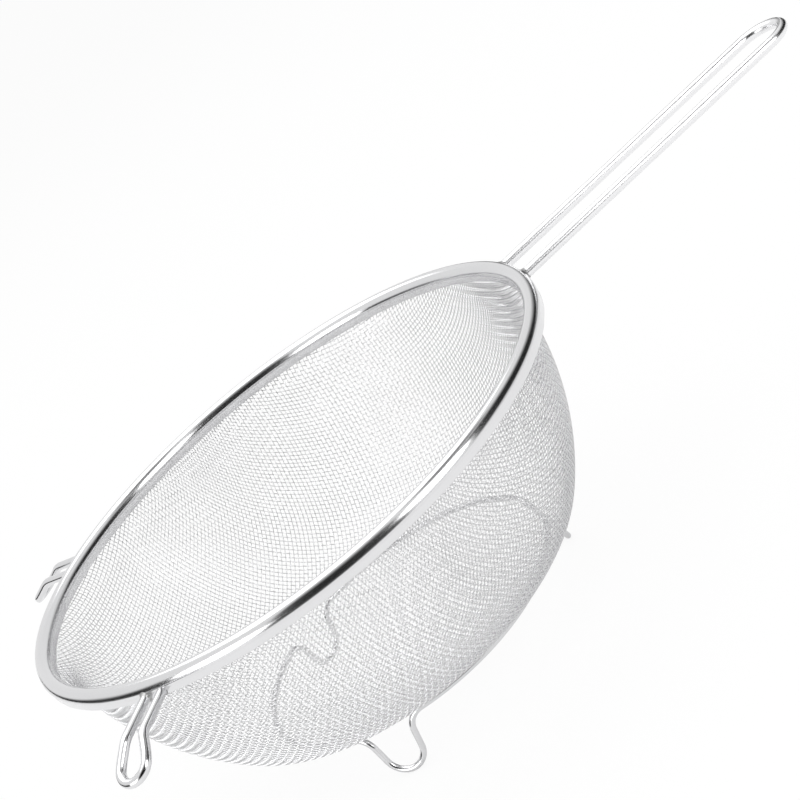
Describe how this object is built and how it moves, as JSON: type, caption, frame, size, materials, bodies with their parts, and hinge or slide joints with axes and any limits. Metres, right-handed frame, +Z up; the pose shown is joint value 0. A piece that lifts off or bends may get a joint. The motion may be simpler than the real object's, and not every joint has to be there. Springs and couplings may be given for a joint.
{
  "type": "mesh strainer",
  "caption": "Round strainer with a woven wire bowl in a folded steel rim, a looped wire handle, rest lugs for a pot's edge and a wire foot ring to stand on.",
  "frame": {"origin": "on the table, under the middle of the bounding box of the whole strainer", "axes": "+Z up with the strainer standing on its feet, +X from the bowl along the handle, +Y to the far side of the picture"},
  "size_m": [0.3542, 0.22, 0.1027],
  "materials": {
    "cloth": "bright drawn stainless wire, woven plain",
    "rim": "polished stainless strip",
    "wire": "polished stainless wire",
    "weld": "resistance weld, cleaned, dull grey"
  },
  "bodies": {
    "root": {"mesh_bowl": "cloth", "rim_band": "rim", "rim_core_wire": "wire", "handle": "wire", "rest_lug_far": "wire", "rest_lug_near": "wire", "foot_ring": "wire", "handle_weld_far": "weld", "handle_weld_near": "weld", "lug_weld_far_left": "weld", "lug_weld_far_right": "weld", "lug_weld_near_left": "weld", "lug_weld_near_right": "weld"}
  },
  "joints": []
}
